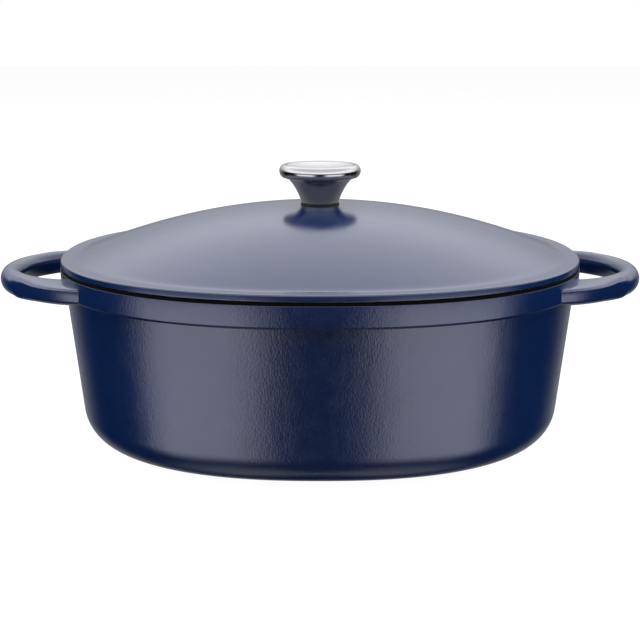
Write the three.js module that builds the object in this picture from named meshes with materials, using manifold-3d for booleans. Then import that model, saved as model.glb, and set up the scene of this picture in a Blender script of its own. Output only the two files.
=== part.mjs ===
// Oval enamelled cast iron dutch oven: a pot cast in one piece with its two loop handles,
// and a domed lid with a screwed-on stainless steel knob.
// Millimetres, +Z up, +X along the oval. The origin is under the middle of the flat base.

import * as THREE from 'three';
import { mergeVertices } from 'three/addons/utils/BufferGeometryUtils.js';
import Module from 'manifold-3d';

const wasm = await Module();
wasm.setup();

// ---- Driving dimensions -------------------------------------------------------------------

// Oval outline of the lid, which the whole oven follows
const lidHalfLength = 165;
const lidHalfWidth = 130;
const rimPower = 2.2;
const basePower = 2.33;
const ovalSegments = 56;

// Pot casting
const potHeight = 114.9;
const wallThickness = 3.9;
const floorThickness = 4.6;
const wallSlope = 0.113;
const wallInset = 3;
const cornerRadius = 24.7;
const footHeight = 1;
const footInset = 1;
const collarHeight = 14;
const collarInset = 0.1;
const rimBandHeight = 2.4;
const rimBandInset = 0.5;
const rimChamfer = 0.6;
const stepDrop = 1.4;
const cutMargin = 1;

// Loop handles
const handleInset = 14.5;
const handleRadius = 49.1;
const handleWidth = 13.4;
const handleDepth = 15.3;
const handleTipDrop = 11.6;
const handleRootDrop = 12.3;
const flareStart = 52;
const flareEnd = 98;
const flareReach = 19.7;
const flarePower = 1.5;
const flareLift = 2.7;
const handleEnd = 106;
const handleSteps = 22;
const handleSides = 7;

// Lid casting
const rimGap = 0.3;
const lidThickness = 3.6;
const lidSideHeight = 2.9;
const lidSideDraft = 0.4;
const lidEdgeRadius = 0.8;
const lidBottomChamfer = 0.5;
const flangeSlope = 0.02;
const domeHeight = 36.07;
const domePower = 1.976;
const domeDrop = 0.47;
const domeFlattening = 1.4;
const flangeBlend = 0.4;
const lipClearance = 1.2;
const lipWidth = 3;
const lipDepth = 4;
const bossRadius = 11;
const bossThickness = 5.2;
const bossSink = 1;
const seatMargin = 0.6;
const domeSteps = 8;
const nubRadius = 3;
const nubTipRadius = 1.6;
const nubHeight = 3.5;
const nubSides = 6;
const nubRings = [
  { share: 0.3, count: 8 },
  { share: 0.5, count: 12 },
  { share: 0.7, count: 16 },
];

// Knob
const knobHeight = 24.7;
const knobBaseRadius = 11.9;
const knobBaseEdge = 0.4;
const knobWaistRadius = 15.4;
const knobWaistHeight = 10.6;
const knobNeckRadius = 20.6;
const knobNeckHeight = 15.6;
const knobRimRadius = 26.2;
const knobRimHeight = 21;
const knobCrestRadius = 22.7;
const rimUndercut = 1.15;
const crestLip = 0.8;
const ledgeWidth = 0.8;
const knobWall = 0.9;
const dishDepth = 2.4;
const dishSteps = 6;
const capEdgeDrop = 0.5;
const capThickness = 1.2;
const capGap = 0.3;
const bushRadius = 6;
const bushFlangeClearance = 2;
const bushFlangeThickness = 1.6;
const bushBoreDepth = 12;
const gasketOverhang = 0.5;
const gasketThickness = 0.7;
const stackGap = 0.1;

// Fasteners under the lid
const screwRadius = 3;
const boreClearance = 0.3;
const lidHoleClearance = 0.6;
const flatWasherRadius = 9;
const flatWasherThickness = 1.2;
const lockWasherRadius = 6.1;
const lockWasherThickness = 1.6;
const lockWasherSplit = 1;
const screwHeadRadius = 6;
const screwHeadHeight = 3.3;
const screwHeadFlatRadius = 3.6;
const driveWidth = 1.6;
const driveLength = 6.4;
const driveDepth = 1.9;
const screwTipClearance = 1.5;
const screwTipChamfer = 0.6;
const knobSegments = 36;
const smallSegments = 20;

// ---- Materials ----------------------------------------------------------------------------

const blueEnamel = new THREE.MeshStandardMaterial({ color: 0x0b2458, roughness: 0.35, metalness: 0 });
const steel = new THREE.MeshStandardMaterial({ color: 0xc4c4c2, roughness: 0.25, metalness: 1 });
const brushedSteel = new THREE.MeshStandardMaterial({ color: 0xd6d7d6, roughness: 0.35, metalness: 1 });
const plainSteel = new THREE.MeshStandardMaterial({ color: 0x9a9a98, roughness: 0.45, metalness: 1 });
const blackRubber = new THREE.MeshStandardMaterial({ color: 0x141416, roughness: 0.7, metalness: 0 });

// ---- Solids -------------------------------------------------------------------------------

function toSolid(geometry) {
  const bare = geometry.index ? geometry.toNonIndexed() : geometry.clone();
  bare.deleteAttribute('normal');
  bare.deleteAttribute('uv');
  const merged = mergeVertices(bare, 1e-4);
  const triVerts = new Uint32Array(merged.index.array);
  if (signedVolume(merged) < 0) {
    triVerts.reverse();
  }
  const vertProperties = new Float32Array(merged.attributes.position.array);
  return new wasm.Manifold(new wasm.Mesh({ numProp: 3, vertProperties, triVerts }));
}

function toGeometry(solid) {
  const mesh = solid.getMesh();
  const geometry = new THREE.BufferGeometry();
  geometry.setAttribute('position', new THREE.BufferAttribute(mesh.vertProperties, 3));
  geometry.setIndex(new THREE.BufferAttribute(mesh.triVerts, 1));
  geometry.computeVertexNormals();
  return geometry;
}

function signedVolume(geometry) {
  const corners = [new THREE.Vector3(), new THREE.Vector3(), new THREE.Vector3()];
  let volume = 0;
  for (let i = 0; i < geometry.index.count; i += 3) {
    corners.forEach((corner, k) => {
      corner.fromBufferAttribute(geometry.attributes.position, geometry.index.getX(i + k));
    });
    volume += corners[0].dot(corners[1].cross(corners[2])) / 6;
  }
  return volume;
}

function namedMesh(name, geometry, material, height = 0) {
  const mesh = new THREE.Mesh(geometry, material);
  mesh.name = name;
  mesh.position.z = height;
  return mesh;
}

// A turned shape about the Z axis, from points of (radius, height)
function turned(profile, segments) {
  return new THREE.LatheGeometry(profile, segments).rotateX(Math.PI / 2);
}

function cylinder(topRadius, bottomRadius, bottom, top, segments) {
  const height = top - bottom;
  const geometry = new THREE.CylinderGeometry(topRadius, bottomRadius, height, segments);
  return geometry.rotateX(Math.PI / 2).translate(0, 0, bottom + height / 2);
}

// A closed ring of rectangular section, lying on the plane at its own height 0
function ringProfile(inner, outer, height) {
  return [
    new THREE.Vector2(inner, 0),
    new THREE.Vector2(outer, 0),
    new THREE.Vector2(outer, height),
    new THREE.Vector2(inner, height),
    new THREE.Vector2(inner, 0),
  ];
}

function arcPoints(centreX, centreY, radius, startAngle, endAngle, count) {
  const arc = new THREE.EllipseCurve(
    centreX, centreY, radius, radius, startAngle, endAngle, endAngle < startAngle,
  );
  return arc.getPoints(count);
}

// ---- The oval -----------------------------------------------------------------------------

// One point of a superellipse, which is a plain ellipse where the power is 2
function ovalPoint(angle, halfLength, halfWidth, power) {
  const c = Math.cos(angle);
  const s = Math.sin(angle);
  return {
    x: halfLength * Math.sign(c) * Math.abs(c) ** (2 / power),
    y: halfWidth * Math.sign(s) * Math.abs(s) ** (2 / power),
  };
}

// Turns a round lathe shape into an oval one. Its radius is the oval's half width. The half
// length is longer by the same amount everywhere outside spreadRadius, so walls keep their
// thickness, and in proportion to the radius inside it.
function stretchToOval(geometry, spreadRadius, powerAt) {
  const position = geometry.attributes.position;
  for (let i = 0; i < position.count; i += 1) {
    const radius = Math.hypot(position.getX(i), position.getY(i));
    const angle = Math.atan2(position.getY(i), position.getX(i));
    const extra = (lidHalfLength - lidHalfWidth) * Math.min(1, radius / spreadRadius);
    const power = powerAt(radius, position.getZ(i));
    const point = ovalPoint(angle, radius + extra, radius, power);
    position.setXY(i, point.x, point.y);
  }
  return geometry;
}

// ---- Pot ----------------------------------------------------------------------------------

const collarBottom = potHeight - collarHeight;
const wallTilt = Math.atan(wallSlope);

// Outer half width of the drafted wall under the collar
function wallRadius(height) {
  return lidHalfWidth - wallInset - wallSlope * (collarBottom - height);
}

// Middle of the rounded corner between wall and base, shared by its outer and inner arcs
const cornerHeight = footHeight + cornerRadius;
const cornerCentre = wallRadius(cornerHeight) - cornerRadius / Math.cos(wallTilt);
const footRadius = cornerCentre - footInset;

function potPower(radius, height) {
  return THREE.MathUtils.lerp(basePower, rimPower, height / potHeight);
}

function potOuter() {
  const collarRadius = lidHalfWidth - collarInset;
  const bandRadius = collarRadius - rimBandInset;
  const profile = [
    new THREE.Vector2(0, 0),
    new THREE.Vector2(footRadius, 0),
    new THREE.Vector2(footRadius, footHeight),
    ...arcPoints(cornerCentre, cornerHeight, cornerRadius, -Math.PI / 2, -wallTilt, 8),
    new THREE.Vector2(wallRadius(collarBottom - stepDrop), collarBottom - stepDrop),
    new THREE.Vector2(collarRadius, collarBottom),
    new THREE.Vector2(collarRadius, potHeight - rimBandHeight),
    new THREE.Vector2(bandRadius, potHeight - rimBandHeight),
    new THREE.Vector2(bandRadius, potHeight - rimChamfer),
    new THREE.Vector2(bandRadius - rimChamfer, potHeight),
    new THREE.Vector2(0, potHeight),
  ];
  return toSolid(stretchToOval(turned(profile, ovalSegments), footRadius, potPower));
}

// Half width of the inside at the rim, which the lid's lip drops into
const openingRadius = wallRadius(potHeight) - wallThickness / Math.cos(wallTilt);

function potCavity() {
  const innerRadius = cornerRadius - wallThickness;
  const floor = footHeight + floorThickness;
  const above = potHeight + cutMargin;
  const profile = [
    new THREE.Vector2(0, floor),
    ...arcPoints(cornerCentre, floor + innerRadius, innerRadius, -Math.PI / 2, -wallTilt, 6),
    new THREE.Vector2(openingRadius, potHeight),
    new THREE.Vector2(openingRadius, above),
    new THREE.Vector2(0, above),
  ];
  return toSolid(stretchToOval(turned(profile, ovalSegments), footRadius, potPower));
}

const handleCentre = lidHalfLength - handleInset;

// Centre line of a handle: an arc in plan that rises a little from its roots to its tip
class HandleLine extends THREE.Curve {
  getPoint(t, target = new THREE.Vector3()) {
    const angle = THREE.MathUtils.degToRad(handleEnd) * (2 * t - 1);
    const tipShare = Math.cos(angle);
    const drop = THREE.MathUtils.lerp(handleRootDrop, handleTipDrop, tipShare);
    return target.set(
      handleCentre + handleRadius * Math.cos(angle),
      handleRadius * Math.sin(angle),
      potHeight - drop,
    );
  }
}

// The handle's outer side spreads along the collar and rises a little where the bar meets it
function flareRoots(geometry) {
  const position = geometry.attributes.position;
  for (let i = 0; i < position.count; i += 1) {
    const x = position.getX(i) - handleCentre;
    const y = position.getY(i);
    const radius = Math.hypot(x, y);
    const degrees = THREE.MathUtils.radToDeg(Math.abs(Math.atan2(y, x)));
    const outward = Math.max(0, radius - handleRadius) / (handleWidth / 2);
    const share = Math.max(0, degrees - flareStart) / (flareEnd - flareStart);
    const flare = share ** flarePower;
    const scale = 1 + (outward * flareReach * flare) / radius;
    position.setXY(i, handleCentre + x * scale, y * scale);
    position.setZ(i, position.getZ(i) + flareLift * flare * outward ** 2);
  }
  return geometry;
}

function handle() {
  const section = new THREE.Shape();
  section.absellipse(0, 0, handleDepth / 2, handleWidth / 2, 0, 2 * Math.PI);
  const bar = new THREE.ExtrudeGeometry(section, {
    extrudePath: new HandleLine(),
    steps: handleSteps,
    curveSegments: handleSides,
  });
  return toSolid(flareRoots(bar));
}

function pot() {
  const right = handle();
  const left = right.rotate([0, 0, 180]);
  return toGeometry(potOuter().add(right).add(left).subtract(potCavity()));
}

// ---- Lid ----------------------------------------------------------------------------------

const lidBase = potHeight + rimGap;
const flangeHeight = lidSideHeight + lidEdgeRadius;

// Outer height of the lid over its own bottom edge: a dome with a slightly flattened top that
// runs out into a nearly flat flange along the edge
function lidSurface(radius) {
  const fall = domeHeight * (radius / lidHalfWidth) ** domePower;
  const dome = domeHeight - domeDrop - Math.hypot(fall, domeFlattening);
  const flange = flangeHeight + flangeSlope * (lidHalfWidth - radius);
  return (dome + flange) / 2 + Math.hypot((dome - flange) / 2, flangeBlend);
}

function lidPower(radius) {
  return THREE.MathUtils.lerp(2, rimPower, radius / lidHalfWidth);
}

const gasketRadius = knobBaseRadius + gasketOverhang;
const seatRadius = gasketRadius + seatMargin;
const seatHeight = lidSurface(seatRadius);
const lipRadius = openingRadius - lipClearance;
const lipInner = lipRadius - lipWidth;

// Half widths at which the dome is sampled, closer together towards the edge
function domeRadii(edge, centre, count) {
  return Array.from({ length: count }, (_, k) => {
    return centre + (edge - centre) * Math.cos((k * Math.PI) / 2 / count);
  });
}

function lidUnderside(radius) {
  return lidSurface(radius) - lidThickness;
}

function lidShell() {
  const edgeCentre = lidHalfWidth - lidSideDraft - lidEdgeRadius;
  const outer = domeRadii(edgeCentre - lidEdgeRadius, seatRadius, domeSteps);
  const inner = domeRadii(lipInner - lidThickness / 2, 0, domeSteps).reverse();
  const profile = [
    new THREE.Vector2(0, lidUnderside(0)),
    ...inner.map((radius) => new THREE.Vector2(radius, lidUnderside(radius))),
    new THREE.Vector2(lipInner, 0),
    new THREE.Vector2(lipInner, -lipDepth),
    new THREE.Vector2(lipRadius, -lipDepth),
    new THREE.Vector2(lipRadius, 0),
    new THREE.Vector2(lidHalfWidth - lidBottomChamfer, 0),
    new THREE.Vector2(lidHalfWidth, lidBottomChamfer),
    ...arcPoints(edgeCentre, lidSideHeight, lidEdgeRadius, 0, Math.PI / 2, 3),
    ...outer.map((radius) => new THREE.Vector2(radius, lidSurface(radius))),
    new THREE.Vector2(seatRadius, seatHeight),
    new THREE.Vector2(0, seatHeight),
  ];
  return toSolid(stretchToOval(turned(profile, ovalSegments), lidHalfWidth, lidPower));
}

// Drip nubs in oval rings on the underside of the dome
function dripNubs() {
  const nubs = [];
  for (const ring of nubRings) {
    const halfWidth = lidHalfWidth * ring.share;
    const halfLength = lidHalfLength * ring.share;
    const root = lidUnderside(halfWidth) + lidThickness / 2;
    const tip = lidUnderside(halfWidth) - nubHeight;
    for (let k = 0; k < ring.count; k += 1) {
      const angle = (2 * Math.PI * (k + 0.5)) / ring.count;
      const place = ovalPoint(angle, halfLength, halfWidth, lidPower(halfWidth));
      const nub = cylinder(nubRadius, nubTipRadius, tip, root, nubSides);
      nubs.push(toSolid(nub.translate(place.x, place.y, 0)));
    }
  }
  return nubs;
}

function lid() {
  const bossBottom = seatHeight - bossThickness;
  const boss = toSolid(cylinder(bossRadius, bossRadius, bossBottom, seatHeight - bossSink, smallSegments));
  const holeRadius = screwRadius + lidHoleClearance;
  const hole = toSolid(cylinder(holeRadius, holeRadius, 0, domeHeight, smallSegments));
  const casting = dripNubs().reduce((solid, nub) => solid.add(nub), lidShell().add(boss));
  return toGeometry(casting.subtract(hole));
}

// ---- Knob ---------------------------------------------------------------------------------

const gasketBottom = lidBase + seatHeight + stackGap;
const knobBottom = gasketBottom + gasketThickness + stackGap;
const capRadius = knobCrestRadius - crestLip - capGap;
const capEdgeTop = knobHeight - capEdgeDrop;
const ledgeHeight = capEdgeTop - capThickness - capGap;
const bushHoleRadius = bushRadius + boreClearance;
const bushFlangeRadius = knobBaseRadius - knobWall - bushFlangeClearance;
const boreRadius = screwRadius + boreClearance;

// The stamped trumpet: a base plate, a flaring neck and a rolled rim that holds the cap
function knobShell() {
  const neckOuter = new THREE.QuadraticBezierCurve(
    new THREE.Vector2(knobBaseRadius, knobBaseEdge),
    new THREE.Vector2(knobWaistRadius, knobWaistHeight),
    new THREE.Vector2(knobNeckRadius, knobNeckHeight),
  );
  const neckInner = new THREE.QuadraticBezierCurve(
    new THREE.Vector2(knobNeckRadius - knobWall * Math.SQRT2, knobNeckHeight),
    new THREE.Vector2(knobWaistRadius - knobWall, knobWaistHeight),
    new THREE.Vector2(knobBaseRadius - knobWall, knobWall),
  );
  const rolledRim = new THREE.EllipseCurve(
    knobCrestRadius, knobRimHeight, knobRimRadius - knobCrestRadius, knobHeight - knobRimHeight,
    -rimUndercut, Math.PI / 2,
  );
  const profile = [
    new THREE.Vector2(bushHoleRadius, 0),
    new THREE.Vector2(knobBaseRadius - knobBaseEdge, 0),
    ...neckOuter.getPoints(6),
    ...rolledRim.getPoints(6),
    new THREE.Vector2(capRadius + capGap, capEdgeTop),
    new THREE.Vector2(capRadius + capGap, ledgeHeight),
    new THREE.Vector2(capRadius - ledgeWidth, ledgeHeight),
    ...neckInner.getPoints(5),
    new THREE.Vector2(bushHoleRadius, knobWall),
    new THREE.Vector2(bushHoleRadius, 0),
  ];
  return toGeometry(toSolid(turned(profile, knobSegments)));
}

function dishTop(radius) {
  return capEdgeTop - dishDepth * (1 - (radius / capRadius) ** 2);
}

// The dished disc on top, which drops into the rolled rim
function knobCap() {
  const radii = Array.from({ length: dishSteps }, (_, k) => (capRadius * k) / dishSteps);
  const profile = [
    ...radii.map((radius) => new THREE.Vector2(radius, dishTop(radius) - capThickness)),
    new THREE.Vector2(capRadius, capEdgeTop - capThickness),
    new THREE.Vector2(capRadius, capEdgeTop),
    ...radii.map((radius) => new THREE.Vector2(radius, dishTop(radius))).reverse(),
  ];
  return toGeometry(toSolid(turned(profile, knobSegments)));
}

// The threaded core: a spigot through the base plate, a flange on it and a post under the cap
function knobBush() {
  const flangeBottom = knobWall + stackGap;
  const flangeTop = flangeBottom + bushFlangeThickness;
  const postTop = dishTop(0) - capThickness - capGap;
  const profile = [
    new THREE.Vector2(boreRadius, 0),
    new THREE.Vector2(bushRadius, 0),
    new THREE.Vector2(bushRadius, flangeBottom),
    new THREE.Vector2(bushFlangeRadius, flangeBottom),
    new THREE.Vector2(bushFlangeRadius, flangeTop),
    new THREE.Vector2(bushRadius, flangeTop),
    new THREE.Vector2(bushRadius, postTop),
    new THREE.Vector2(0, postTop),
    new THREE.Vector2(0, bushBoreDepth),
    new THREE.Vector2(boreRadius, bushBoreDepth),
    new THREE.Vector2(boreRadius, 0),
  ];
  return toGeometry(toSolid(turned(profile, smallSegments)));
}

function gasket() {
  const inner = screwRadius + lidHoleClearance;
  return toGeometry(toSolid(turned(ringProfile(inner, gasketRadius, gasketThickness), knobSegments)));
}

// ---- Fasteners under the lid --------------------------------------------------------------

const flatWasherBottom = lidBase + seatHeight - bossThickness - stackGap - flatWasherThickness;
const lockWasherBottom = flatWasherBottom - stackGap - lockWasherThickness;
const screwHeadTop = lockWasherBottom - stackGap;

function flatWasher() {
  const profile = ringProfile(boreRadius, flatWasherRadius, flatWasherThickness);
  return toGeometry(toSolid(turned(profile, smallSegments)));
}

// A spring washer, split on one side
function lockWasher() {
  const ring = toSolid(turned(ringProfile(boreRadius, lockWasherRadius, lockWasherThickness), smallSegments));
  const split = new THREE.BoxGeometry(2 * lockWasherRadius, lockWasherSplit, 4 * lockWasherThickness);
  return toGeometry(ring.subtract(toSolid(split.translate(lockWasherRadius, 0, 0))));
}

// A pan head screw with a cross drive. Its height 0 is the bearing face of the head.
function screw() {
  const shankTop = knobBottom + bushBoreDepth - screwTipClearance - screwHeadTop;
  const profile = [
    new THREE.Vector2(0, -screwHeadHeight),
    new THREE.Vector2(screwHeadFlatRadius, -screwHeadHeight),
    ...arcPoints(
      screwHeadRadius - screwHeadHeight / 2, -screwHeadHeight / 2, screwHeadHeight / 2,
      -Math.PI / 2, 0, 4,
    ),
    new THREE.Vector2(screwHeadRadius, 0),
    new THREE.Vector2(screwRadius, 0),
    new THREE.Vector2(screwRadius, shankTop - screwTipChamfer),
    new THREE.Vector2(screwRadius - screwTipChamfer, shankTop),
    new THREE.Vector2(0, shankTop),
  ];
  const body = toSolid(turned(profile, smallSegments));
  const slot = new THREE.BoxGeometry(driveLength, driveWidth, 2 * driveDepth);
  slot.translate(0, 0, -screwHeadHeight);
  const cross = toSolid(slot).add(toSolid(slot.clone().rotateZ(Math.PI / 2)));
  return toGeometry(body.subtract(cross));
}

// ---- Assembly -----------------------------------------------------------------------------

const oven = new THREE.Group();
oven.add(namedMesh('pot', pot(), blueEnamel));

const lidAssembly = new THREE.Group();
lidAssembly.add(
  namedMesh('lid', lid(), blueEnamel, lidBase),
  namedMesh('knob_gasket', gasket(), blackRubber, gasketBottom),
  namedMesh('knob_shell', knobShell(), steel, knobBottom),
  namedMesh('knob_bush', knobBush(), plainSteel, knobBottom),
  namedMesh('knob_cap', knobCap(), brushedSteel, knobBottom),
  namedMesh('flat_washer', flatWasher(), plainSteel, flatWasherBottom),
  namedMesh('lock_washer', lockWasher(), plainSteel, lockWasherBottom),
  namedMesh('knob_screw', screw(), plainSteel, screwHeadTop),
);
oven.add(lidAssembly);

export default oven;
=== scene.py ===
import math

import bmesh
import bpy
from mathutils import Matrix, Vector


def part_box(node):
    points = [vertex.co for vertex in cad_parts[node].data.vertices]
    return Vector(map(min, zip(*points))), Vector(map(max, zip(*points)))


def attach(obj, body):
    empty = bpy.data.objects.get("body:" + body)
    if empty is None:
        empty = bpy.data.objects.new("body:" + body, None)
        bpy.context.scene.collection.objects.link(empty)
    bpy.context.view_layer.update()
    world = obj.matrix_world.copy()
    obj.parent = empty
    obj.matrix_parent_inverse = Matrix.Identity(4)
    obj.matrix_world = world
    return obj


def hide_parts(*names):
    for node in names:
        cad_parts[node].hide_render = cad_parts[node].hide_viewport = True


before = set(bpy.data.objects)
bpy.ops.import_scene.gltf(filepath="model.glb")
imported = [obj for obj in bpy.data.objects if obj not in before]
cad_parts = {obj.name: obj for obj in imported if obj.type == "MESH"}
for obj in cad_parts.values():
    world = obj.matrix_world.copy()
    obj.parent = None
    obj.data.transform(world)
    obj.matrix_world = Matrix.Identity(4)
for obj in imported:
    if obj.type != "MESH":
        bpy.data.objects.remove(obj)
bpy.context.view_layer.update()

MM = 0.001

# ---- Sizes taken from the frame -----------------------------------------------------------

POT_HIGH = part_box("pot")[1]
LID_LOW, LID_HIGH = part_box("lid")
SHELL_LOW, SHELL_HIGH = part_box("knob_shell")
CAP_LOW, CAP_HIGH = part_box("knob_cap")
BUSH_RADIUS = abs(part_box("knob_bush")[0].x)
GASKET_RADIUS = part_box("knob_gasket")[1].x

HALF_LENGTH = LID_HIGH.x
HALF_WIDTH = LID_HIGH.y
LIP_DEPTH = 4 * MM
RIM_GAP = 0.3 * MM
LID_BASE = LID_LOW.z + LIP_DEPTH
POT_HEIGHT = LID_BASE - RIM_GAP

# ---- Shape values of the castings ---------------------------------------------------------

RIM_POWER = 2.2
BASE_POWER = 2.33
RING_POINTS = 256
CORNER_STEPS = 5
ON_AXIS = 1e-7

WALL_THICKNESS = 3.9 * MM
FLOOR_THICKNESS = 4.6 * MM
WALL_SLOPE = 0.113
WALL_INSET = 3 * MM
CORNER_RADIUS = 24.7 * MM
FOOT_HEIGHT = 1 * MM
FOOT_INSET = 1 * MM
FOOT_EDGE = 0.3 * MM
FOOT_ROUNDING = 0.4 * MM
COLLAR_HEIGHT = 14 * MM
COLLAR_INSET = 0.1 * MM
COLLAR_ROUNDING = 0.9 * MM
STEP_DROP = 1.4 * MM
STEP_ROUNDING = 1.2 * MM
BAND_HEIGHT = 2 * MM
BAND_INSET = 0.4 * MM
BAND_ROUNDING = 0.5 * MM
RIM_OUTER_ROUNDING = 1 * MM
RIM_INNER_ROUNDING = 1.4 * MM

HANDLE_INSET = 14.5 * MM
HANDLE_CENTRE = HALF_LENGTH - HANDLE_INSET
HANDLE_WIDTH = 13.4 * MM
HANDLE_DEPTH = 15.3 * MM
HANDLE_RADIUS = POT_HIGH.x - HANDLE_CENTRE - HANDLE_WIDTH / 2
HANDLE_TIP_DROP = 11.6 * MM
HANDLE_ROOT_DROP = 12.3 * MM
HANDLE_END = math.radians(104)
HANDLE_STEPS = 112
HANDLE_SIDES = 40
FLARE_START = math.radians(52)
FLARE_END = math.radians(98)
FLARE_REACH = 19.7 * MM
FLARE_POWER = 1.5
FLARE_LIFT = 2.7 * MM
ROOT_SQUARENESS = 6
ROOT_SQUEEZE = 0.36
ROOT_THINNING = 0.05
SQUARE_START = math.radians(42)
SQUARE_END = math.radians(66)

LID_THICKNESS = 3.6 * MM
LID_SIDE = 2.9 * MM
LID_SIDE_DRAFT = 0.4 * MM
LID_EDGE = 0.8 * MM
DOME_HEIGHT = 36.07 * MM
DOME_POWER = 1.976
DOME_DROP = 0.47 * MM
DOME_FLATTENING = 1.4 * MM
DOME_INNER_STEPS = 40
DOME_OUTER_STEPS = 90
FLANGE_HEIGHT = LID_SIDE + LID_EDGE
FLANGE_SLOPE = 0.02
FLANGE_BLEND = 0.4 * MM
LIP_CLEARANCE = 1.2 * MM
LIP_WIDTH = 3 * MM
LIP_INNER_FILLET = 1.5 * MM
LIP_ROUNDING = 0.8 * MM
LIP_OUTER_FILLET = 0.5 * MM
LID_BOTTOM_ROUNDING = 0.6 * MM
SEAT_MARGIN = 0.6 * MM
SEAT_RADIUS = GASKET_RADIUS + SEAT_MARGIN
HOLE_RADIUS = 3.6 * MM
BOSS_RADIUS = 11 * MM
BOSS_THICKNESS = 5.2 * MM
BOSS_ROUNDING = 0.8 * MM
BOSS_FILLET = 1 * MM
BOSS_FOOT = BOSS_RADIUS + 2 * MM
BOSS_END = BOSS_RADIUS + 6 * MM
DOME_START = BOSS_RADIUS + 8 * MM
NUB_RADIUS = 3 * MM
NUB_ROUNDING = 1.2 * MM
NUB_HEIGHT = 3.5 * MM
NUB_SEGMENTS = 16
# How far out on the lid each oval of nubs lies, as a share of its size, and its number of nubs.
NUB_OVALS = ((0.3, 8), (0.5, 12), (0.7, 16))

# ---- Materials ----------------------------------------------------------------------------


class Shader:
    """A principled material with short helpers for its procedural detail."""

    def __init__(self, name, color, roughness, metallic=0.0):
        self.material = bpy.data.materials.new(name)
        self.material.use_nodes = True
        self.tree = self.material.node_tree
        self.bsdf = self.tree.nodes["Principled BSDF"]
        self.bsdf.inputs["Base Color"].default_value = (*color, 1)
        self.bsdf.inputs["Roughness"].default_value = roughness
        self.bsdf.inputs["Metallic"].default_value = metallic
        self.coordinates = self.tree.nodes.new("ShaderNodeTexCoord").outputs["Object"]

    def link(self, source, target):
        self.tree.links.new(source, target)

    def mapped(self, scale):
        mapping = self.tree.nodes.new("ShaderNodeMapping")
        mapping.inputs["Scale"].default_value = scale
        self.link(self.coordinates, mapping.inputs["Vector"])
        return mapping.outputs["Vector"]

    def noise(self, size, detail=3.0, rough=0.5, stretch=(1, 1, 1)):
        """Noise whose largest features are about size metres across. A stretch below 1 makes
        them longer along that axis."""
        node = self.tree.nodes.new("ShaderNodeTexNoise")
        node.inputs["Scale"].default_value = 1 / size
        node.inputs["Detail"].default_value = detail
        node.inputs["Roughness"].default_value = rough
        self.link(self.mapped(stretch), node.inputs["Vector"])
        return node.outputs["Fac"]

    def ramp(self, value, stops):
        node = self.tree.nodes.new("ShaderNodeValToRGB")
        elements = node.color_ramp.elements
        for k, (place, color) in enumerate(stops):
            element = elements[k] if k < 2 else elements.new(place)
            element.position = place
            element.color = (*color, 1)
        self.link(value, node.inputs["Fac"])
        return node.outputs["Color"]

    def spread(self, value, low, high):
        """Maps the middle of a noise's range to low and high."""
        node = self.tree.nodes.new("ShaderNodeMapRange")
        node.inputs["From Min"].default_value = 0.3
        node.inputs["From Max"].default_value = 0.7
        node.inputs["To Min"].default_value = low
        node.inputs["To Max"].default_value = high
        self.link(value, node.inputs["Value"])
        return node.outputs["Result"]

    def bump(self, height, depth, below=None):
        node = self.tree.nodes.new("ShaderNodeBump")
        node.inputs["Strength"].default_value = 1
        node.inputs["Distance"].default_value = depth
        self.link(height, node.inputs["Height"])
        if below is not None:
            self.link(below, node.inputs["Normal"])
        return node.outputs["Normal"]

    def math(self, operation, first, second=None):
        node = self.tree.nodes.new("ShaderNodeMath")
        node.operation = operation
        for socket, value in zip(node.inputs, (first, second)):
            if isinstance(value, (int, float)):
                socket.default_value = value
            elif value is not None:
                self.link(value, socket)
        return node.outputs["Value"]

    def set(self, socket, value):
        if isinstance(value, (int, float)):
            self.bsdf.inputs[socket].default_value = value
        else:
            self.link(value, self.bsdf.inputs[socket])


def shade_blue_enamel(name, grain_depth, wave_depth):
    """Deep blue glass enamel, glossy over the fine upright grain of the sand casting."""
    s = Shader(name, (0.0008, 0.008, 0.040), 0.2)
    s.set("IOR", 1.6)
    s.set("Specular IOR Level", 0.75)
    pooled = s.noise(45 * MM, 3)
    deep = (0.0007, 0.0072, 0.036)
    bright = (0.0009, 0.0088, 0.044)
    s.set("Base Color", s.ramp(pooled, ((0.3, deep), (0.7, bright))))
    s.set("Roughness", s.spread(s.noise(9 * MM, 4), 0.17, 0.22))
    grain = s.bump(s.noise(1.0 * MM, 2, 0.6, (1, 1, 0.45)), grain_depth)
    waves = s.bump(s.noise(12 * MM, 2, 0.5, (1, 1, 0.35)), wave_depth, below=grain)
    s.set("Normal", waves)
    return s.material


def shade_black_enamel():
    """Matte black enamel on the rim band and the seat."""
    s = Shader("black_enamel", (0.001, 0.001, 0.0015), 0.6)
    s.set("Specular IOR Level", 0.03)
    s.set("Roughness", s.spread(s.noise(4 * MM, 4), 0.5, 0.68))
    s.set("Normal", s.bump(s.noise(1.1 * MM, 4, 0.6), 0.1 * MM))
    return s.material


def shade_cream_enamel():
    """Pale inside enamel with a faint speckle."""
    s = Shader("cream_enamel", (0.66, 0.6, 0.47), 0.22)
    base = (0.68, 0.62, 0.49)
    speck = (0.42, 0.36, 0.27)
    s.set("Base Color", s.ramp(s.noise(1.6 * MM, 2), ((0.26, speck), (0.33, base))))
    s.set("Roughness", s.spread(s.noise(8 * MM, 3), 0.18, 0.28))
    s.set("Normal", s.bump(s.noise(6 * MM, 3), 0.12 * MM))
    return s.material


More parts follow.
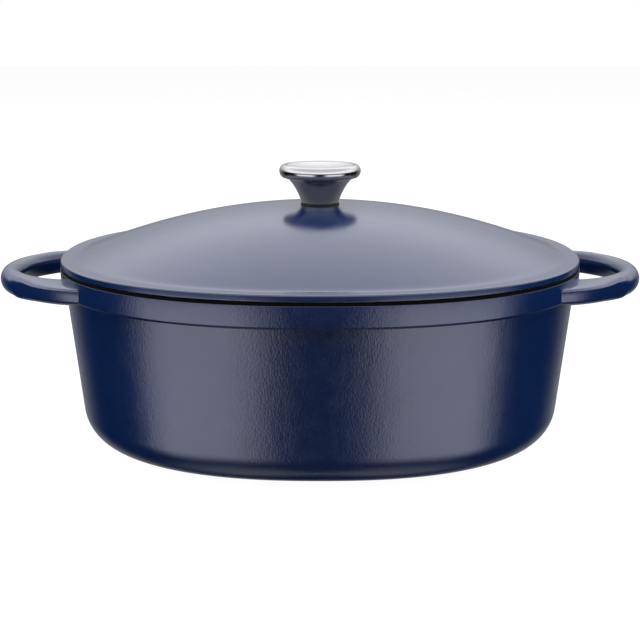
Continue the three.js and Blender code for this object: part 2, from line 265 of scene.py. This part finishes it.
def shade_foot():
    """Rough dark enamel under the base, rubbed a little where it slides on the hob."""
    s = Shader("foot_enamel", (0.012, 0.012, 0.014), 0.6)
    dark = (0.008, 0.008, 0.010)
    rubbed = (0.035, 0.034, 0.034)
    s.set("Base Color", s.ramp(s.noise(7 * MM, 6, 0.7), ((0.5, dark), (0.75, rubbed))))
    s.set("Roughness", s.spread(s.noise(3 * MM, 4), 0.5, 0.75))
    s.set("Normal", s.bump(s.noise(1.2 * MM, 4), 0.15 * MM))
    return s.material


def radius_of(s):
    """Distance from the knob's axis, which is the Z axis."""
    split = s.tree.nodes.new("ShaderNodeSeparateXYZ")
    s.link(s.coordinates, split.inputs["Vector"])
    x = split.outputs["X"]
    y = split.outputs["Y"]
    squares = s.math("ADD", s.math("MULTIPLY", x, x), s.math("MULTIPLY", y, y))
    return s.math("SQRT", squares)


def spun_lines(s, pitch):
    """Fine rings left by spinning, as a noise that changes only with the distance from the axis."""
    node = s.tree.nodes.new("ShaderNodeTexNoise")
    node.noise_dimensions = "1D"
    node.inputs["Scale"].default_value = 1 / pitch
    node.inputs["Detail"].default_value = 4
    s.link(radius_of(s), node.inputs["W"])
    return node.outputs["Fac"]


def shade_polished_steel():
    s = Shader("polished_steel", (0.45, 0.44, 0.42), 0.16, 1.0)
    s.set("Roughness", s.spread(s.noise(6 * MM, 4), 0.12, 0.2))
    s.set("Normal", s.bump(s.noise(0.5 * MM, 3, 0.6, (1, 1, 0.15)), 0.01 * MM))
    return s.material


def shade_spun_steel():
    s = Shader("spun_steel", (0.5, 0.495, 0.48), 0.3, 1.0)
    lines = spun_lines(s, 0.35 * MM)
    s.set("Roughness", s.spread(lines, 0.24, 0.38))
    s.set("Normal", s.bump(lines, 0.012 * MM))
    return s.material


def shade_plain_steel():
    s = Shader("plain_steel", (0.5, 0.495, 0.49), 0.4, 1.0)
    s.set("Roughness", s.spread(s.noise(2 * MM, 4), 0.32, 0.5))
    s.set("Normal", s.bump(s.noise(0.8 * MM, 3), 0.02 * MM))
    return s.material


def shade_rubber():
    s = Shader("black_rubber", (0.010, 0.010, 0.011), 0.7)
    s.set("Roughness", s.spread(s.noise(2 * MM, 4), 0.62, 0.8))
    s.set("Normal", s.bump(s.noise(0.6 * MM, 3), 0.03 * MM))
    return s.material


BLUE = shade_blue_enamel("blue_enamel", 0.09 * MM, 0.1 * MM)
BLUE_LID = shade_blue_enamel("blue_enamel_lid", 0.008 * MM, 0.05 * MM)
BLACK = shade_black_enamel()
CREAM = shade_cream_enamel()
FOOT = shade_foot()
POLISHED = shade_polished_steel()
SPUN = shade_spun_steel()
PLAIN = shade_plain_steel()
RUBBER = shade_rubber()

# ---- Profiles -----------------------------------------------------------------------------


def arc(centre, radius, start, end, count):
    """Points on a round arc, with angles in radians from the first axis."""
    points = []
    for k in range(count + 1):
        angle = start + (end - start) * k / count
        points.append((centre[0] + radius * math.cos(angle), centre[1] + radius * math.sin(angle)))
    return points


def rounded(corners):
    """A polyline whose corners (x, z, radius) are replaced by curves of about that radius."""
    points = []
    for k, (x, z, radius) in enumerate(corners):
        if radius == 0 or k in (0, len(corners) - 1):
            points.append((x, z))
            continue
        here = Vector((x, z))
        before = Vector(corners[k - 1][:2]) - here
        after = Vector(corners[k + 1][:2]) - here
        half = before.angle(after) / 2
        reach = min(radius / math.tan(half), before.length * 0.48, after.length * 0.48)
        start = here + before.normalized() * reach
        end = here + after.normalized() * reach
        for i in range(CORNER_STEPS + 1):
            t = i / CORNER_STEPS
            point = start * (1 - t) ** 2 + here * 2 * t * (1 - t) + end * t ** 2
            points.append((point.x, point.y))
    return points


def bezier(start, control, end, count):
    """Points on a curve that leaves start towards control and reaches end from there."""
    points = []
    for k in range(count + 1):
        t = k / count
        points.append(tuple(
            a * (1 - t) ** 2 + 2 * b * t * (1 - t) + c * t ** 2
            for a, b, c in zip(start, control, end)
        ))
    return points


# ---- Meshes -------------------------------------------------------------------------------

TURNED_SEGMENTS = 128


def oval_point(angle, half_length, half_width, power):
    """A point on an ellipse that gets squarer as its power rises above 2."""
    along = math.cos(angle)
    across = math.sin(angle)
    return (
        half_length * math.copysign(abs(along) ** (2 / power), along),
        half_width * math.copysign(abs(across) ** (2 / power), across),
    )


def ring_mesh(bm, rings, slots, closed=False):
    """Joins rings of points with quads. Ends of one point close the shape on its axis."""
    rows = [[bm.verts.new(point) for point in ring] for ring in rings]
    pairs = list(zip(rows, rows[1:]))
    if closed:
        pairs.append((rows[-1], rows[0]))
    for k, (low, high) in enumerate(pairs):
        count = max(len(low), len(high))
        for i in range(count):
            j = (i + 1) % count
            if len(low) == 1:
                corners = (low[0], high[j], high[i])
            elif len(high) == 1:
                corners = (low[i], low[j], high[0])
            else:
                corners = (low[i], low[j], high[j], high[i])
            face = bm.faces.new(corners)
            face.material_index = slots[k]
            face.smooth = True
    return rows


def finish_mesh(bm, name, materials, body, node):
    """Turns the mesh into a piece that rides on the body and replaces the node."""
    bmesh.ops.recalc_face_normals(bm, faces=bm.faces)
    mesh = bpy.data.meshes.new(name)
    bm.to_mesh(mesh)
    bm.free()
    piece = bpy.data.objects.new(name, mesh)
    bpy.context.scene.collection.objects.link(piece)
    for material in materials:
        mesh.materials.append(material)
    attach(piece, body)
    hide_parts(node)


def turned_ring(radius, height, segments):
    if radius < ON_AXIS:
        return [(0, 0, height)]
    ring = []
    for i in range(segments):
        angle = 2 * math.pi * i / segments
        ring.append((radius * math.cos(angle), radius * math.sin(angle), height))
    return ring


def turned_rings(profile, segments):
    return [turned_ring(radius, height, segments) for radius, height in profile]


def make_turned(name, profile, material, node, closed=False):
    """A turned piece of the lid's body, about the Z axis."""
    bm = bmesh.new()
    ring_mesh(bm, turned_rings(profile, TURNED_SEGMENTS), [0] * len(profile), closed)
    finish_mesh(bm, name, [material], "lid", node)


# ---- Pot ----------------------------------------------------------------------------------

COLLAR_BOTTOM = POT_HEIGHT - COLLAR_HEIGHT
TILT = math.atan(WALL_SLOPE)


def wall_radius(height):
    return HALF_WIDTH - WALL_INSET - WALL_SLOPE * (COLLAR_BOTTOM - height)


CORNER_HEIGHT = FOOT_HEIGHT + CORNER_RADIUS
CORNER_CENTRE = wall_radius(CORNER_HEIGHT) - CORNER_RADIUS / math.cos(TILT)
FOOT_RADIUS = CORNER_CENTRE - FOOT_INSET
COLLAR_RADIUS = HALF_WIDTH - COLLAR_INSET
BAND_RADIUS = COLLAR_RADIUS - BAND_INSET
OPENING_RADIUS = wall_radius(POT_HEIGHT) - WALL_THICKNESS / math.cos(TILT)

# Material slots of the pot.
POT_OUTSIDE = 0
POT_RIM = 1
POT_FOOT = 2
POT_INSIDE = 3


def pot_ring(radius, height):
    """The pot's oval at a height. Radius is half its width, and its length is greater by the
    same amount at every height above the foot."""
    if radius < ON_AXIS:
        return [(0, 0, height)]
    extra = (HALF_LENGTH - HALF_WIDTH) * min(1, radius / FOOT_RADIUS)
    power = BASE_POWER + (RIM_POWER - BASE_POWER) * height / POT_HEIGHT
    ring = []
    for i in range(RING_POINTS):
        x, y = oval_point(2 * math.pi * i / RING_POINTS, radius + extra, radius, power)
        ring.append((x, y, height))
    return ring


def pot_profile():
    """Points (radius, height) from the middle of the base, up the outside and down the inside,
    and the material slot of the strip between each point and the next."""
    step = COLLAR_BOTTOM - STEP_DROP
    band = POT_HEIGHT - BAND_HEIGHT
    foot = rounded([
        (0, 0, 0),
        (FOOT_RADIUS, 0, FOOT_ROUNDING),
        (FOOT_RADIUS, FOOT_HEIGHT, FOOT_EDGE),
        (CORNER_CENTRE, FOOT_HEIGHT, 0),
    ])
    outer_corner = arc((CORNER_CENTRE, CORNER_HEIGHT), CORNER_RADIUS, -math.pi / 2, -TILT, 24)
    wall_start = Vector(outer_corner[-1])
    wall_end = Vector((wall_radius(step), step))
    wall = [tuple(wall_start.lerp(wall_end, share)) for share in (0.25, 0.5, 0.75)]
    collar = rounded([
        (*wall[-1], 0),
        (wall_radius(step), step, STEP_ROUNDING),
        (COLLAR_RADIUS, COLLAR_BOTTOM, COLLAR_ROUNDING),
        (COLLAR_RADIUS, band, BAND_ROUNDING),
        (BAND_RADIUS, band, 0),
    ])
    rim = rounded([
        (BAND_RADIUS, band, 0),
        (BAND_RADIUS, POT_HEIGHT, RIM_OUTER_ROUNDING),
        (OPENING_RADIUS, POT_HEIGHT, RIM_INNER_ROUNDING),
        (wall_radius(band) - WALL_THICKNESS, band, 0),
    ])
    inner_radius = CORNER_RADIUS - WALL_THICKNESS
    inner_centre = (CORNER_CENTRE, FOOT_HEIGHT + FLOOR_THICKNESS + inner_radius)
    inner_corner = arc(inner_centre, inner_radius, -TILT, -math.pi / 2, 20)
    floor_height = inner_corner[-1][1]
    floor = [(FOOT_RADIUS * 0.6, floor_height), (0, floor_height)]
    stretches = (
        (foot, POT_FOOT),
        (outer_corner[1:] + wall, POT_OUTSIDE),
        (collar[1:-1], POT_OUTSIDE),
        (rim, POT_RIM),
        (inner_corner + floor, POT_INSIDE),
    )
    profile = [point for stretch, _ in stretches for point in stretch]
    slots = [slot for stretch, slot in stretches for _ in stretch]
    return profile, slots[1:]


def handle_rings(side):
    """Rings round one loop handle, whose outer side spreads out on the collar at its roots."""
    rings = []
    for k in range(HANDLE_STEPS + 1):
        angle = HANDLE_END * (2 * k / HANDLE_STEPS - 1)
        drop = HANDLE_ROOT_DROP + (HANDLE_TIP_DROP - HANDLE_ROOT_DROP) * math.cos(angle)
        share = max(0, abs(angle) - FLARE_START) / (FLARE_END - FLARE_START)
        flare = share ** FLARE_POWER
        square = min(1, max(0, (abs(angle) - SQUARE_START) / (SQUARE_END - SQUARE_START)))
        power = 2 + ROOT_SQUARENESS * square
        depth = HANDLE_DEPTH * (1 - ROOT_THINNING * square)
        ring = []
        for i in range(HANDLE_SIDES):
            around = 2 * math.pi * i / HANDLE_SIDES
            corner = power if math.cos(around) > 0 else 2
            out, up = oval_point(around, HANDLE_WIDTH / 2, depth / 2, corner)
            outward = max(0, out) / (HANDLE_WIDTH / 2)
            radius = HANDLE_RADIUS + out + outward * FLARE_REACH * flare
            squeeze = 1 - ROOT_SQUEEZE * outward ** 2 * square
            x = HANDLE_CENTRE + radius * math.cos(angle)
            y = radius * math.sin(angle)
            z = POT_HEIGHT - drop + up * squeeze + FLARE_LIFT * flare * outward ** 2
            ring.append(keep_in_wall(side * x, side * y, z))
        rings.append(ring)
    return rings


def keep_in_wall(x, y, z):
    """Moves a point that has passed through the wall back to the middle of it."""
    middle = min(wall_radius(z), COLLAR_RADIUS) - WALL_THICKNESS * 0.5
    half_length = middle + HALF_LENGTH - HALF_WIDTH
    power = BASE_POWER + (RIM_POWER - BASE_POWER) * z / POT_HEIGHT
    depth = (abs(x) / half_length) ** power + (abs(y) / middle) ** power
    scale = max(1, depth ** (-1 / power))
    return (x * scale, y * scale, z)


def make_pot():
    bm = bmesh.new()
    profile, slots = pot_profile()
    ring_mesh(bm, [pot_ring(*point) for point in profile], slots)
    for side in (1, -1):
        rings = handle_rings(side)
        rows = ring_mesh(bm, rings, [POT_OUTSIDE] * len(rings))
        for row in (rows[0], rows[-1]):
            face = bm.faces.new(row)
            face.smooth = True
    finish_mesh(bm, "pot_casting", [BLUE, BLACK, FOOT, CREAM], "pot", "pot")


# ---- Lid ----------------------------------------------------------------------------------


def lid_surface(radius):
    """Outer height of the lid over its bottom edge."""
    fall = DOME_HEIGHT * (radius / HALF_WIDTH) ** DOME_POWER
    dome = DOME_HEIGHT - DOME_DROP - math.hypot(fall, DOME_FLATTENING)
    flange = FLANGE_HEIGHT + FLANGE_SLOPE * (HALF_WIDTH - radius)
    return (dome + flange) / 2 + math.hypot((dome - flange) / 2, FLANGE_BLEND)


SEAT_HEIGHT = lid_surface(SEAT_RADIUS)
LIP_RADIUS = OPENING_RADIUS - LIP_CLEARANCE
LIP_INNER = LIP_RADIUS - LIP_WIDTH

# Material slots of the lid.
LID_OUTSIDE = 0
LID_UNDERSIDE = 1


def lid_underside(radius):
    return lid_surface(radius) - LID_THICKNESS


def lid_ring(radius, height):
    extra = (HALF_LENGTH - HALF_WIDTH) * max(0, radius - HOLE_RADIUS) / (HALF_WIDTH - HOLE_RADIUS)
    power = 2 + (RIM_POWER - 2) * radius / HALF_WIDTH
    ring = []
    for i in range(RING_POINTS):
        x, y = oval_point(2 * math.pi * i / RING_POINTS, radius + extra, radius, power)
        ring.append((x, y, LID_BASE + height))
    return ring


def lid_profile():
    """A closed outline: under the boss, out under the dome, round the lip and the edge, and
    back over the dome to the screw hole."""
    boss = SEAT_HEIGHT - BOSS_THICKNESS
    inner_edge = LIP_INNER - LID_THICKNESS * 0.6
    hub = rounded([
        (HOLE_RADIUS, boss, 0),
        (BOSS_RADIUS, boss, BOSS_ROUNDING),
        (BOSS_FOOT, lid_underside(BOSS_FOOT), BOSS_FILLET),
        (BOSS_END, lid_underside(BOSS_END), 0),
    ])
    dome_under = []
    for k in range(DOME_INNER_STEPS + 1):
        share = math.sin(math.pi / 2 * k / DOME_INNER_STEPS)
        radius = DOME_START + (inner_edge - DOME_START) * share
        dome_under.append((radius, lid_underside(radius)))
    lip = rounded([
        (*dome_under[-1], 0),
        (LIP_INNER, 0, LIP_INNER_FILLET),
        (LIP_INNER, -LIP_DEPTH, LIP_ROUNDING),
        (LIP_RADIUS, -LIP_DEPTH, LIP_ROUNDING),
        (LIP_RADIUS, 0, LIP_OUTER_FILLET),
        (HALF_WIDTH, 0, LID_BOTTOM_ROUNDING),
        (HALF_WIDTH - LID_SIDE_DRAFT, LID_SIDE, 0),
    ])
    edge_centre = (HALF_WIDTH - LID_SIDE_DRAFT - LID_EDGE, LID_SIDE)
    edge = arc(edge_centre, LID_EDGE, 0, math.pi / 2, 8)[1:]
    dome_edge = edge_centre[0] - LID_EDGE * 0.3
    dome = []
    for k in range(DOME_OUTER_STEPS):
        share = math.cos(math.pi / 2 * k / DOME_OUTER_STEPS)
        radius = SEAT_RADIUS + (dome_edge - SEAT_RADIUS) * share
        dome.append((radius, lid_surface(radius)))
    seat = [(SEAT_RADIUS, SEAT_HEIGHT), (HOLE_RADIUS, SEAT_HEIGHT)]
    under = hub + dome_under + lip[1:]
    profile = under + edge + dome + seat
    # The blue enamel starts part of the way round the lid's rounded bottom edge.
    cream_strips = len(under) - CORNER_STEPS
    slots = [LID_UNDERSIDE] * cream_strips + [LID_OUTSIDE] * (len(profile) - cream_strips)
    return profile, slots


def add_nubs(bm):
    """Drip nubs in oval rings under the dome."""
    for share, count in NUB_OVALS:
        half_width = HALF_WIDTH * share
        power = 2 + (RIM_POWER - 2) * share
        root = LID_BASE + lid_surface(half_width) - LID_THICKNESS * 0.7
        tip = LID_BASE + lid_underside(half_width) - NUB_HEIGHT
        shape = rounded([
            (0, tip, 0),
            (NUB_RADIUS * 0.6, tip, NUB_ROUNDING),
            (NUB_RADIUS, root, 0),
            (0, root, 0),
        ])
        for k in range(count):
            angle = 2 * math.pi * (k + 0.5) / count
            x, y = oval_point(angle, HALF_LENGTH * share, half_width, power)
            rings = [
                [(px + x, py + y, pz) for px, py, pz in ring]
                for ring in turned_rings(shape, NUB_SEGMENTS)
            ]
            ring_mesh(bm, rings, [LID_UNDERSIDE] * len(rings))


def make_lid():
    bm = bmesh.new()
    profile, slots = lid_profile()
    ring_mesh(bm, [lid_ring(*point) for point in profile], slots, closed=True)
    add_nubs(bm)
    finish_mesh(bm, "lid_casting", [BLUE_LID, CREAM], "lid", "lid")


# ---- Knob ---------------------------------------------------------------------------------

KNOB_BASE = 11.9 * MM
KNOB_BASE_ROUNDING = 0.4 * MM
KNOB_BASE_TOP = (KNOB_BASE + 0.3 * MM, 1 * MM)
KNOB_NECK_START = (KNOB_BASE + 0.35 * MM, 1.2 * MM)
KNOB_WAIST = (15.4 * MM, 10.6 * MM)
KNOB_NECK = (20.6 * MM, 15.6 * MM)
KNOB_RIM_HEIGHT = 20.5 * MM
KNOB_CREST = 22.7 * MM
RIM_UNDERCUT = 1.15
KNOB_WALL = 0.9 * MM
KNOB_LIP_DROP = 0.25 * MM
KNOB_LIP_ROUNDING = 0.3 * MM
DISH_DEPTH = 2.4 * MM
CAP_THICKNESS = 1.2 * MM
CAP_GAP = 0.12 * MM
CAP_LEDGE_RISE = 1 * MM
CAP_LEDGE_WIDTH = 0.8 * MM
CAP_ROUNDING = 0.3 * MM
CAP_TOP_ROUNDING = 0.25 * MM
RIM_ARC_STEPS = 20
DISH_STEPS = 30


def make_knob_shell():
    """The trumpet: base, neck, rolled rim and the ledge that holds the dish."""
    height = SHELL_HIGH.z - SHELL_LOW.z
    rim_radius = SHELL_HIGH.x
    rim = []
    for k in range(RIM_ARC_STEPS + 1):
        angle = -RIM_UNDERCUT + (math.pi / 2 + RIM_UNDERCUT) * k / RIM_ARC_STEPS
        rim.append((
            KNOB_CREST + (rim_radius - KNOB_CREST) * math.cos(angle),
            KNOB_RIM_HEIGHT + (height - KNOB_RIM_HEIGHT) * math.sin(angle),
        ))
    cap_edge = CAP_HIGH.x + CAP_GAP
    ledge = CAP_LOW.z - SHELL_LOW.z + CAP_LEDGE_RISE
    inner_neck = (KNOB_NECK[0] - KNOB_WALL * math.sqrt(2), KNOB_NECK[1])
    inner_waist = (KNOB_WAIST[0] - KNOB_WALL, KNOB_WAIST[1])
    base = rounded([
        (BUSH_RADIUS, 0, 0),
        (KNOB_BASE, 0, KNOB_BASE_ROUNDING),
        (*KNOB_BASE_TOP, 0),
    ])
    neck = bezier(KNOB_NECK_START, KNOB_WAIST, KNOB_NECK, 24)
    lip = rounded([
        (*rim[-1], 0),
        (cap_edge, height - KNOB_LIP_DROP, KNOB_LIP_ROUNDING),
        (cap_edge, ledge, 0),
        (cap_edge - CAP_LEDGE_WIDTH, ledge, 0),
    ])
    inside = bezier(inner_neck, inner_waist, (KNOB_BASE - KNOB_WALL, KNOB_WALL), 12)
    outline = base + neck + rim + lip[1:] + inside + [(BUSH_RADIUS, KNOB_WALL)]
    outline = [(radius, SHELL_LOW.z + rise) for radius, rise in outline]
    make_turned("knob_trumpet", outline, POLISHED, "knob_shell", closed=True)


def make_knob_cap():
    """The dish that closes the trumpet's top."""
    edge = CAP_HIGH.x
    top = []
    for k in range(DISH_STEPS + 1):
        share = k / DISH_STEPS
        top.append((edge * share, CAP_HIGH.z - DISH_DEPTH * (1 - share ** 2)))
    under = [(radius, height - CAP_THICKNESS) for radius, height in top[:-1]]
    rim = rounded([
        (*under[-1], 0),
        (edge, CAP_HIGH.z - CAP_THICKNESS, CAP_ROUNDING),
        (edge, CAP_HIGH.z, CAP_TOP_ROUNDING),
        (*top[-2], 0),
    ])
    outline = under + rim[1:-1] + top[-2::-1]
    make_turned("knob_dish", outline, SPUN, "knob_cap")


make_pot()
make_lid()
make_knob_shell()
make_knob_cap()

KEPT_NODES = {
    "knob_bush": PLAIN,
    "flat_washer": PLAIN,
    "lock_washer": PLAIN,
    "knob_screw": PLAIN,
    "knob_gasket": RUBBER,
}

for node, material in KEPT_NODES.items():
    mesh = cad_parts[node].data
    mesh.materials.clear()
    mesh.materials.append(material)

# ---- Stage --------------------------------------------------------------------------------

FLOOR_RADIUS = 14
BACKDROP_RADIUS = 13
BACKDROP_DEPTH = 16


def emission_material(name, color, strength):
    material = bpy.data.materials.new(name)
    material.use_nodes = True
    nodes = material.node_tree.nodes
    nodes.clear()
    emission = nodes.new("ShaderNodeEmission")
    emission.inputs["Color"].default_value = (*color, 1)
    emission.inputs["Strength"].default_value = strength
    output = nodes.new("ShaderNodeOutputMaterial")
    material.node_tree.links.new(emission.outputs["Emission"], output.inputs["Surface"])
    material.cycles.emission_sampling = "NONE"
    return material


def make_floor():
    """A white table, bright enough by itself that only a faint shadow shows on it."""
    material = bpy.data.materials.new("floor")
    material.use_nodes = True
    bsdf = material.node_tree.nodes["Principled BSDF"]
    bsdf.inputs["Base Color"].default_value = (0.12, 0.12, 0.12, 1)
    bsdf.inputs["Roughness"].default_value = 0.9
    bsdf.inputs["Specular IOR Level"].default_value = 0.0
    bsdf.inputs["Emission Color"].default_value = (1, 1, 1, 1)
    bsdf.inputs["Emission Strength"].default_value = 0.97
    material.cycles.emission_sampling = "NONE"
    bm = bmesh.new()
    bmesh.ops.create_circle(bm, cap_ends=True, segments=96, radius=FLOOR_RADIUS)
    mesh = bpy.data.meshes.new("floor")
    bm.to_mesh(mesh)
    bm.free()
    floor = bpy.data.objects.new("floor", mesh)
    mesh.materials.append(material)
    bpy.context.scene.collection.objects.link(floor)
    floor.visible_glossy = False


def make_backdrop():
    """A white wall far off on every side, which only the camera sees."""
    bm = bmesh.new()
    bmesh.ops.create_cone(
        bm,
        cap_ends=False,
        segments=96,
        radius1=BACKDROP_RADIUS,
        radius2=BACKDROP_RADIUS,
        depth=BACKDROP_DEPTH,
    )
    mesh = bpy.data.meshes.new("backdrop")
    bm.to_mesh(mesh)
    bm.free()
    backdrop = bpy.data.objects.new("backdrop", mesh)
    mesh.materials.append(emission_material("backdrop", (1, 1, 1), 1.0))
    bpy.context.scene.collection.objects.link(backdrop)
    backdrop.visible_diffuse = False
    backdrop.visible_glossy = False
    backdrop.visible_transmission = False
    backdrop.visible_shadow = False


class Sky:
    """Soft studio light all round, as a world whose brightness depends only on direction."""

    def __init__(self):
        world = bpy.data.worlds.new("studio")
        bpy.context.scene.world = world
        world.use_nodes = True
        self.tree = world.node_tree
        self.background = self.tree.nodes["Background"]
        world.cycles.sampling_method = "MANUAL"
        world.cycles.sample_map_resolution = 512

    def math(self, operation, *values):
        node = self.tree.nodes.new("ShaderNodeMath")
        node.operation = operation
        for socket, value in zip(node.inputs, values):
            if isinstance(value, (int, float)):
                socket.default_value = value
            else:
                self.tree.links.new(value, socket)
        return node.outputs["Value"]

    def window(self, value, low, high, edge):
        """1 where value is between low and high, with soft edges."""
        rise = self.ease(value, low - edge / 2, low + edge / 2)
        fall = self.ease(value, high - edge / 2, high + edge / 2)
        return self.math("SUBTRACT", rise, fall)

    def ease(self, value, low, high):
        """0 below low, 1 above high and a smooth rise between them."""
        node = self.tree.nodes.new("ShaderNodeMapRange")
        node.interpolation_type = "SMOOTHSTEP"
        node.inputs["From Min"].default_value = low
        node.inputs["From Max"].default_value = high
        self.tree.links.new(value, node.inputs["Value"])
        return node.outputs["Result"]

    def sum(self, values):
        total = values[0]
        for value in values[1:]:
            total = self.math("ADD", total, value)
        return total


def make_sky():
    """What the glossy surfaces reflect: two tall softboxes to the left and right of the camera,
    a broad soft light overhead and behind, and a dim glow from the table under the pot. In
    degrees, aside is how far a direction turns from the camera's side, and height is how far it
    rises above level."""
    sky = Sky()
    tree = sky.tree
    direction = tree.nodes.new("ShaderNodeTexCoord").outputs["Generated"]
    split = tree.nodes.new("ShaderNodeSeparateXYZ")
    tree.links.new(direction, split.inputs["Vector"])
    x, y, z = split.outputs
    forward = sky.math("MULTIPLY", y, -1)
    bearing = sky.math("MULTIPLY", sky.math("ARCTAN2", x, forward), 180 / math.pi)
    aside = sky.math("ABSOLUTE", bearing)
    height = sky.math("MULTIPLY", sky.math("ARCSINE", z), 180 / math.pi)
    behind = sky.ease(aside, 95, 150)

    softbox_width = sky.window(aside, 17, 68.5, 20)
    softbox_rise = sky.math("SUBTRACT", sky.ease(height, -61, -31), sky.ease(height, -10, 2))
    softboxes = sky.math("MULTIPLY", sky.math("MULTIPLY", softbox_width, softbox_rise), 1.68)

    low_back = sky.math("MULTIPLY", sky.ease(aside, 116, 152), 0.33)
    low_back = sky.math("MULTIPLY", low_back, sky.ease(height, -60, -34))
    table = sky.math("MULTIPLY", sky.window(aside, 28, 155, 44), 0.4)
    table = sky.math("MULTIPLY", table, sky.math("SUBTRACT", 1, sky.ease(height, -78, -54)))

    back_rise = sky.math("MULTIPLY", sky.ease(height, 6, 38), 1.38)
    back_fall = sky.math("MULTIPLY", sky.ease(height, 50, 68), -0.2)
    high_back = sky.math("MULTIPLY", behind, sky.sum([back_rise, back_fall, 0.32]))
    front_low_edge = sky.math("MULTIPLY", sky.ease(height, 4, 12), 1.95)
    front_dimmer = sky.math("MULTIPLY", sky.ease(height, 26, 42), -0.8)
    in_front = sky.math("SUBTRACT", 1, behind)
    high_front = sky.math("MULTIPLY", in_front, sky.sum([front_low_edge, front_dimmer]))
    high = sky.math("MULTIPLY", sky.ease(height, -2, 6), sky.math("ADD", high_back, high_front))

    neutral = sky.background
    tinted = tree.nodes.new("ShaderNodeBackground")
    both = tree.nodes.new("ShaderNodeAddShader")
    neutral.inputs["Color"].default_value = (0.985, 1.0, 1.06, 1)
    tinted.inputs["Color"].default_value = (0.97, 0.98, 1.16, 1)
    tree.links.new(sky.sum([low_back, table, high]), neutral.inputs["Strength"])
    tree.links.new(softboxes, tinted.inputs["Strength"])
    tree.links.new(neutral.outputs["Background"], both.inputs[0])
    tree.links.new(tinted.outputs["Background"], both.inputs[1])
    tree.links.new(both.outputs["Shader"], tree.nodes["World Output"].inputs["Surface"])
    visibility = bpy.context.scene.world.cycles_visibility
    visibility.diffuse = False
    visibility.camera = False
    visibility.transmission = False
    visibility.scatter = False


def make_softbox(name, size, distance, bearing, elevation, power):
    """A square light that shines on the pot but is not itself reflected in it. Bearing 0 is on
    the camera's side of the pot."""
    light = bpy.data.lights.new(name, "AREA")
    light.shape = "SQUARE"
    light.size = size
    light.energy = power
    softbox = bpy.data.objects.new(name, light)
    turn = math.radians(bearing)
    lift = math.radians(elevation)
    towards = Vector((
        math.sin(turn) * math.cos(lift),
        -math.cos(turn) * math.cos(lift),
        math.sin(lift),
    ))
    softbox.location = towards * distance + Vector((0, 0, POT_HEIGHT / 2))
    softbox.rotation_euler = towards.to_track_quat("Z", "Y").to_euler()
    softbox.visible_glossy = False
    softbox.visible_camera = False
    bpy.context.scene.collection.objects.link(softbox)


def make_camera():
    """Looks down a little from in front of the pot's long side, at the edge of the lid."""
    distance = 0.7
    tilt = math.radians(11.07)
    focal_length = 60.525
    vertical_shift = -0.10046875
    camera = bpy.data.objects.new("camera", bpy.data.cameras.new("camera"))
    camera.data.sensor_width = 36
    camera.data.lens = focal_length
    camera.data.shift_y = vertical_shift
    camera.data.clip_end = 100
    camera.location = (0, -distance * math.cos(tilt), LID_BASE + distance * math.sin(tilt))
    camera.rotation_euler = (math.pi / 2 - tilt, 0, 0)
    bpy.context.scene.collection.objects.link(camera)
    bpy.context.scene.camera = camera


make_floor()
make_backdrop()
make_sky()
make_softbox("left_softbox", size=1.6, distance=2.5, bearing=-90, elevation=12, power=92)
make_softbox("right_softbox", size=1.6, distance=2.5, bearing=90, elevation=12, power=92)
make_softbox("top_softbox", size=1.8, distance=3, bearing=0, elevation=72, power=165)
make_camera()
bpy.context.scene.view_settings.view_transform = "Standard"
